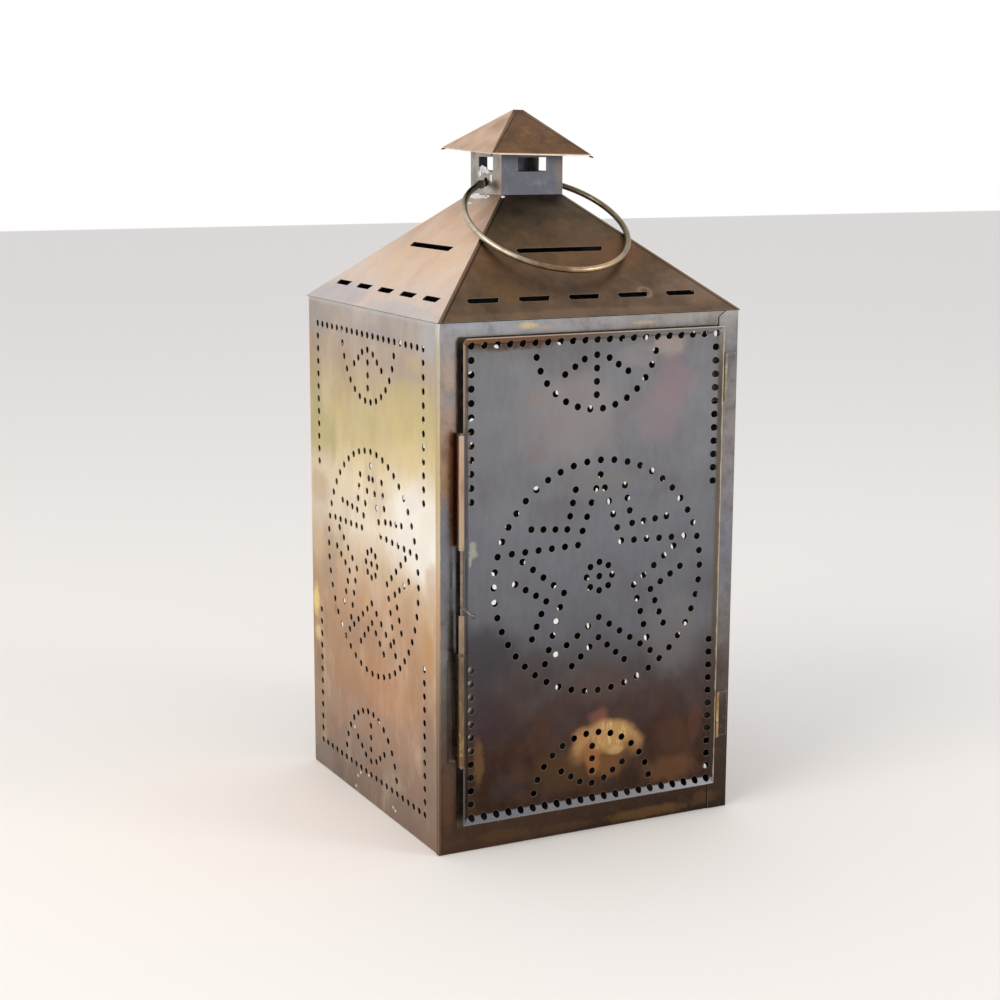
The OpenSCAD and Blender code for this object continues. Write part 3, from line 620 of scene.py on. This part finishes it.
def door_sheet(mat, at):
    colour = bands(mat, wobbled(mat, at, "Z", 30, 14), [
        (16, "38281F"), (30, "392920"), (52, "3F2E27"), (70, "463937"), (92, "514C4D"),
        (112, "626268"), (140, "6C6D74"), (170, "717279"), (200, "74757B"), (230, "7A7B80"),
        (255, "76777B"), (272, "686665")])
    light = bands(mat, along(mat, at, "Z"), [(40, "4E4138"), (120, "7E7E86"), (272, "8C8A8E")])
    colour = mottle(mat, at, colour, "5A5054", light, 24, 0.25)
    colour = mottle(mat, at, colour, "4C4648", light, 3, 0.1, (1, 1, 3))
    lower = ramp(mat, along(mat, at, "Z"), 95, 50)
    warm = ramp(mat, grain(mat, at, 20, detail=4.0), 0.48, 0.66)
    colour = tint(mat, colour, "5C3E2C", maths(mat, "MULTIPLY", lower, warm), 0.4)
    colour = stained(mat, at, colour, "Y", -DOOR, 30, 0.7, (
            (-14, 228, 38, 32, "8E8785", 0.6), (44, 262, 14, 8, "A8988E", 0.5),
            (48, 242, 14, 20, "8A747A", 0.55), (38, 226, 20, 18, "887A7E", 0.55),
            (26, 258, 16, 8, "8C8486", 0.5), (4, 192, 30, 10, "7C7674", 0.5),
            (-52, 268, 38, 5, "4A3526", 0.85), (-38, 238, 5, 5, "8A7A70", 0.4),
            (-34, 209, 9, 6, "7E7068", 0.4), (-66, 106, 28, 24, "3A3638", 0.65),
            (-62, 70, 20, 20, "40343A", 0.5), (-38, 92, 22, 18, "423430", 0.35),
            (4, 82, 22, 14, "5A4840", 0.5),
            (-20, 36, 20, 16, "54422E", 0.55), (8, 44, 30, 24, "5E4430", 0.6),
            (50, 28, 22, 10, "6A4C36", 0.7), (50, 48, 14, 14, "583E32", 0.6),
            (66, 54, 6, 14, "68483A", 0.4), (52, 106, 24, 28, "807E7E", 0.4),
            (-67, 49, 4, 16, "6E5238", 0.8),
            (5, 63, 8, 7, "80584A", 0.7), (12, 35, 11, 9, "7A5636", 0.7),
            (-61, 126, 4, 4, "7A6868", 0.3)))
    # The bare patch is a dome with a darker middle and a bright rim.
    dome = spot(mat, at, (10, -DOOR, 45), (24, 30, 17.5), 0.35, 11, 0.3)
    inner = spot(mat, at, (11, -DOOR, 42), (20.5, 30, 14.5), 0.35, 11, 0.5)
    above = ramp(mat, wobbled(mat, at, "Z", 8, 8), 36, 50)
    colour = tint(mat, colour, "84603E", maths(mat, "MULTIPLY", dome, above), 0.85)
    rim = maths(mat, "MULTIPLY", maths(mat, "SUBTRACT", dome, inner, True), above)
    colour = tint(mat, colour, "B48E60", rim, 0.8)
    for x, z, wide, tall, code, share in (
            (1, 41, 6, 12, "9E6C40", 0.75), (-6, 55, 7, 6, "A87C56", 0.6),
            (13, 51, 13, 10, "B8925C", 0.9), (15, 43.5, 6, 3, "C4A676", 0.6)):
        stain = spot(mat, at, (x, -DOOR, z), (wide, 30, tall), 0.8, 7, 0.6)
        colour = tint(mat, colour, code, stain, share)
    streak = ramp(mat, grain(mat, at, 1.8, (1, 1, 4), 3.0), 0.52, 0.66)
    bare = maths(mat, "MULTIPLY", streak, spot(mat, at, (12, -DOOR, 53), (13, 30, 9), 0.5, 6))
    colour = tint(mat, colour, "DCC08C", bare, 0.7)
    for x, z, wide, tall in ((-70.6, 164, 2.4, 4), (-70.2, 160.5, 3.2, 3), (-72, 157, 1.2, 4)):
        scrape = spot(mat, at, (x, -DOOR, z), (wide, 30, tall), 0.9, 2)
        colour = tint(mat, colour, "A4A294", scrape, 0.8)
    # The four lips catch other light than the face: left and right, then top and foot.
    for shade, low, high in (
            ([(16, "4A4440"), (60, "58524E"), (110, "66646A"), (200, "6A666A"), (222, "746862"),
              (236, "AA8C70"), (270, "BE9E80")], -74.4, -75.4),
            ([(16, "40342C"), (70, "4C4038"), (120, "625648"), (170, "6A5E50"), (215, "5C5046"),
              (238, "4E433B"), (250, "665A50"), (270, "8E857C")], 74.4, 75.4)):
        lip = ramp(mat, along(mat, at, "X"), low, high)
        colour = tint(mat, colour, bands(mat, wobbled(mat, at, "Z", 8, 8), shade), lip, 0.85)
    rubbed = ramp(mat, wobbled(mat, at, "X", 6, 0.8), 76.6, 77.2)
    colour = tint(mat, colour, "D8CCAE", rubbed, 0.7)
    top = bands(mat, wobbled(mat, at, "X", 12, 10), [
        (-76, "946A4E"), (-30, "84644E"), (0, "80706A"), (30, "8A8888"), (76, "98949A")])
    colour = tint(mat, colour, top, ramp(mat, along(mat, at, "Z"), 267.6, 268.6), 0.9)
    # A painted highlight along the top lip's upper edge.
    colour = tint(mat, colour, "DCC8B0", ramp(mat, along(mat, at, "Z"), 270.4, 270.9), 0.6)
    foot = bands(mat, along(mat, at, "X"), [(-76, "64666C"), (10, "6E7076"), (76, "88888C")])
    colour = tint(mat, colour, foot, ramp(mat, along(mat, at, "Z"), 19.9, 19.2), 0.9)
    return darken_inner_side(mat, colour, "Y", 1)


door_tin = metal("blue_brown_tinplate", door_sheet, 0.4, 0.45, brush=0.008)
wear_on(door_tin, "door_panel")


# ---------------------------------------------------- ring and its solder
# A round wire bent to a ring through the cupola. Its joint is a burnt lump of solder just
# outside the wall, and the work has left bright splashes. The wire is brown bronze at its foot,
# with a painted highlight at its left end, silvery at its sides and burnt where it is soldered.


def ring_wire(mat, at):
    # The pale colours at the left end, to x -36, are a painted highlight.
    colour = bands(mat, wobbled(mat, at, "X", 12, 8), [
        (-48, "C0B4A2"), (-36, "B0A28E"), (-22, "7A624A"), (-10, "7A6248"), (2, "AE9476"),
        (20, "B89E7E"), (34, "867A66"), (48, "7C705A")])
    colour = mottle(mat, at, colour, "5A4632", "B0A28C", 5, 0.35)
    silver = ramp(mat, grain(mat, at, 9, detail=2.0), 0.55, 0.68)
    colour = tint(mat, colour, "B0AEA6", silver, 0.4)
    near_hole = ramp(mat, along(mat, at, "Z"), 330, 342)
    left = ramp(mat, along(mat, at, "X"), -10, -20)
    colour = tint(mat, colour, "6A5E4E", near_hole, 0.5)
    return tint(mat, colour, "3A342C", maths(mat, "MULTIPLY", near_hole, left), 0.8)


ring_steel = metal("burnt_drawn_wire", ring_wire, 0.33, 0.2, dents=0)
wear_on(ring_steel, "ring_handle")

ring_low, ring_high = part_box("ring_solder")
lump_at = (ring_low + ring_high) / 2 / MM
lump_long, lump_wide, lump_high = 3.1, 2.3, 2.2  # half sizes, mm
lump = bmesh.new()
bmesh.ops.create_icosphere(lump, subdivisions=4, radius=1)
for vert in lump.verts:
    way = vert.co.normalized()
    swell = 1 + 0.2 * noise.noise(way * 1.7) + 0.1 * noise.noise(way * 4.5 + Vector((3, 0, 0)))
    out = Vector((way.x * lump_long, way.y * lump_wide, way.z * lump_high))
    vert.co = (lump_at + out * swell) * MM
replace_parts(piece("ring_solder_lump", lump, dull_solder, "ring"), "ring_solder")


def tin_solder(mat, at):
    return mottle(mat, at, srgb("DCDCDA"), "A8A49E", "F4F4F2", 3, 0.5)


def blob(bm, centre, out, up, size, rise, seed, sunk=0.1):
    """Adds a run of solder: a low dome on a wall, millimetres, with a wandering outline."""
    out, up, centre = Vector(out).normalized(), Vector(up).normalized(), Vector(centre)
    side = up.cross(out)
    rings, around = 9, 36
    rows = []
    for ring in range(1, rings + 1):
        row, share = [], ring / rings
        for step in range(around):
            turn = 2 * math.pi * step / around
            wander = noise.noise(Vector((math.cos(turn) * 1.3, math.sin(turn) * 1.3, seed)))
            reach = share * (1 + 0.45 * wander)
            high = rise * math.sqrt(max(0, 1 - share ** 2))
            high *= 1 + 0.5 * noise.noise(Vector((turn, share * 3, seed + 9)))
            spot_at = (centre + side * math.cos(turn) * size[0] * reach
                       + up * math.sin(turn) * size[1] * reach + out * high)
            row.append(bm.verts.new(spot_at * MM))
        rows.append(row)
    top = bm.verts.new((centre + out * rise) * MM)
    foot = [bm.verts.new(v.co - out * sunk * MM) for v in rows[-1]]
    under = bm.verts.new((centre - out * sunk) * MM)
    rows.append(foot)
    for step in range(around):
        after = (step + 1) % around
        bm.faces.new((top, rows[0][step], rows[0][after]))
        bm.faces.new((under, foot[after], foot[step]))
        for inner, outer in zip(rows, rows[1:]):
            bm.faces.new((inner[step], outer[step], outer[after], inner[after]))


solder = metal("tin_solder", tin_solder, 0.38, 0.1, dents=0, lumps=0.12)

# Bright splashes lie on the cupola's left wall above and beside the hole.
wall_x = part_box("cupola")[0].x / MM
runs = bmesh.new()
for y, z, wide, tall, rise in ((3.4, 352.2, 4.6, 2.2, 0.9), (-2.5, 350.6, 2.6, 1.2, 0.5),
                               (7.4, 349.4, 1.6, 2.0, 0.5), (-6.2, 347.0, 1.3, 2.6, 0.5)):
    blob(runs, (wall_x, y, z), (-1, 0, 0), (0, 0, 1), (wide, tall), rise, y + z)
piece("cupola_solder_runs", runs, solder, "lantern")

# A larger run fills the corner between that wall and the roof, with drops below it and by
# the near corner. All stay clear of the wire.
slope_rise = 0.842  # tangent of the roof's pitch
slope_top = 338.7  # where the slope meets the cupola's wall, mm
drips = bmesh.new()
for y, out_from, wide, tall, rise in ((5.5, 1.7, 9.5, 2.1, 0.9), (-2.5, 1.6, 4.6, 1.6, 0.7),
                                      (13, 1.8, 4.8, 1.4, 0.5), (7, 6.2, 2.3, 1.0, 0.4)):
    centre = (wall_x - out_from, y, slope_top - out_from * slope_rise)
    blob(drips, centre, (-slope_rise, 0, 1), (1, 0, slope_rise), (wide, tall), rise, y)
blob(drips, (-18.2, -19.8, 337.9), (0, -slope_rise, 1), (0, 1, slope_rise),
     (1.1, 1.1), 0.5, 4)
piece("roof_solder_drips", drips, solder, "lantern")


# ---------------------------------------------------- floor of the studio, light, camera
# A pale floor that keeps the lantern's shadow, a white surround that the metal mirrors, and
# two soft boxes.


def plain(name, code, rough=0.8):
    mat = bpy.data.materials.new(name)
    mat.use_nodes = True
    shader = mat.node_tree.nodes["Principled BSDF"]
    shader.inputs["Base Color"].default_value = srgb(code)
    shader.inputs["Roughness"].default_value = rough
    return mat


ground = bmesh.new()
bmesh.ops.create_grid(ground, x_segments=1, y_segments=1, size=6)
bmesh.ops.translate(ground, verts=ground.verts, vec=(0, 0, -0.0002))
floor_mesh = bpy.data.meshes.new("floor")
ground.to_mesh(floor_mesh)
ground.free()
floor = bpy.data.objects.new("floor", floor_mesh)
bpy.context.scene.collection.objects.link(floor)
floor_mesh.materials.append(plain("pale_floor", "F0EDEA"))

world = bpy.data.worlds.new("studio")
bpy.context.scene.world = world
world.use_nodes = True
world.node_tree.nodes.clear()
path = add(world, "LightPath")
seen = maths(world, "ADD", path.outputs["Is Camera Ray"], path.outputs["Is Glossy Ray"], True)
seen = maths(world, "ADD", seen, path.outputs["Is Transmission Ray"], True)
soft = add(world, "Background", Color=srgb("F4F4F6"), Strength=0.85)
white = add(world, "Background", Color=(1, 1, 1, 1), Strength=1.0)
both = add(world, "MixShader", i0=seen, i1=soft.outputs[0], i2=white.outputs[0])
world.node_tree.links.new(both.outputs[0],
                          world.node_tree.nodes.new("ShaderNodeOutputWorld").inputs[0])


def lamp(name, where, size, power, code):
    """A square soft box that looks at the middle of the lantern."""
    data = bpy.data.lights.new(name, "AREA")
    data.size, data.energy, data.color = size, power, srgb(code)[:3]
    obj = bpy.data.objects.new(name, data)
    bpy.context.scene.collection.objects.link(obj)
    obj.location = where
    way = Vector((0, 0, 0.18)) - Vector(where)
    obj.rotation_euler = way.to_track_quat("-Z", "Y").to_euler()


lamp("key", (-1.5, -0.5, 1.3), 1.1, 16, "FFF6EA")
lamp("side", (1.3, -1.5, 0.9), 0.7, 9, "FFFAF4")

# The photo's camera, solved from the corners of the body and the door.
right, up, back = ((0.89309, -0.44986, 0.00352), (0.08221, 0.17089, 0.98185),
                   (-0.44230, -0.87660, 0.18960))
camera_data = bpy.data.cameras.new("photo_camera")
camera_data.lens, camera_data.sensor_width = 69.98, 36
camera = bpy.data.objects.new("photo_camera", camera_data)
bpy.context.scene.collection.objects.link(camera)
camera.matrix_world = (Matrix.Translation((-0.4950, -0.9626, 0.3759))
                       @ Matrix((right, up, back)).transposed().to_4x4())
bpy.context.scene.camera = camera
bpy.context.scene.view_settings.view_transform = "Standard"
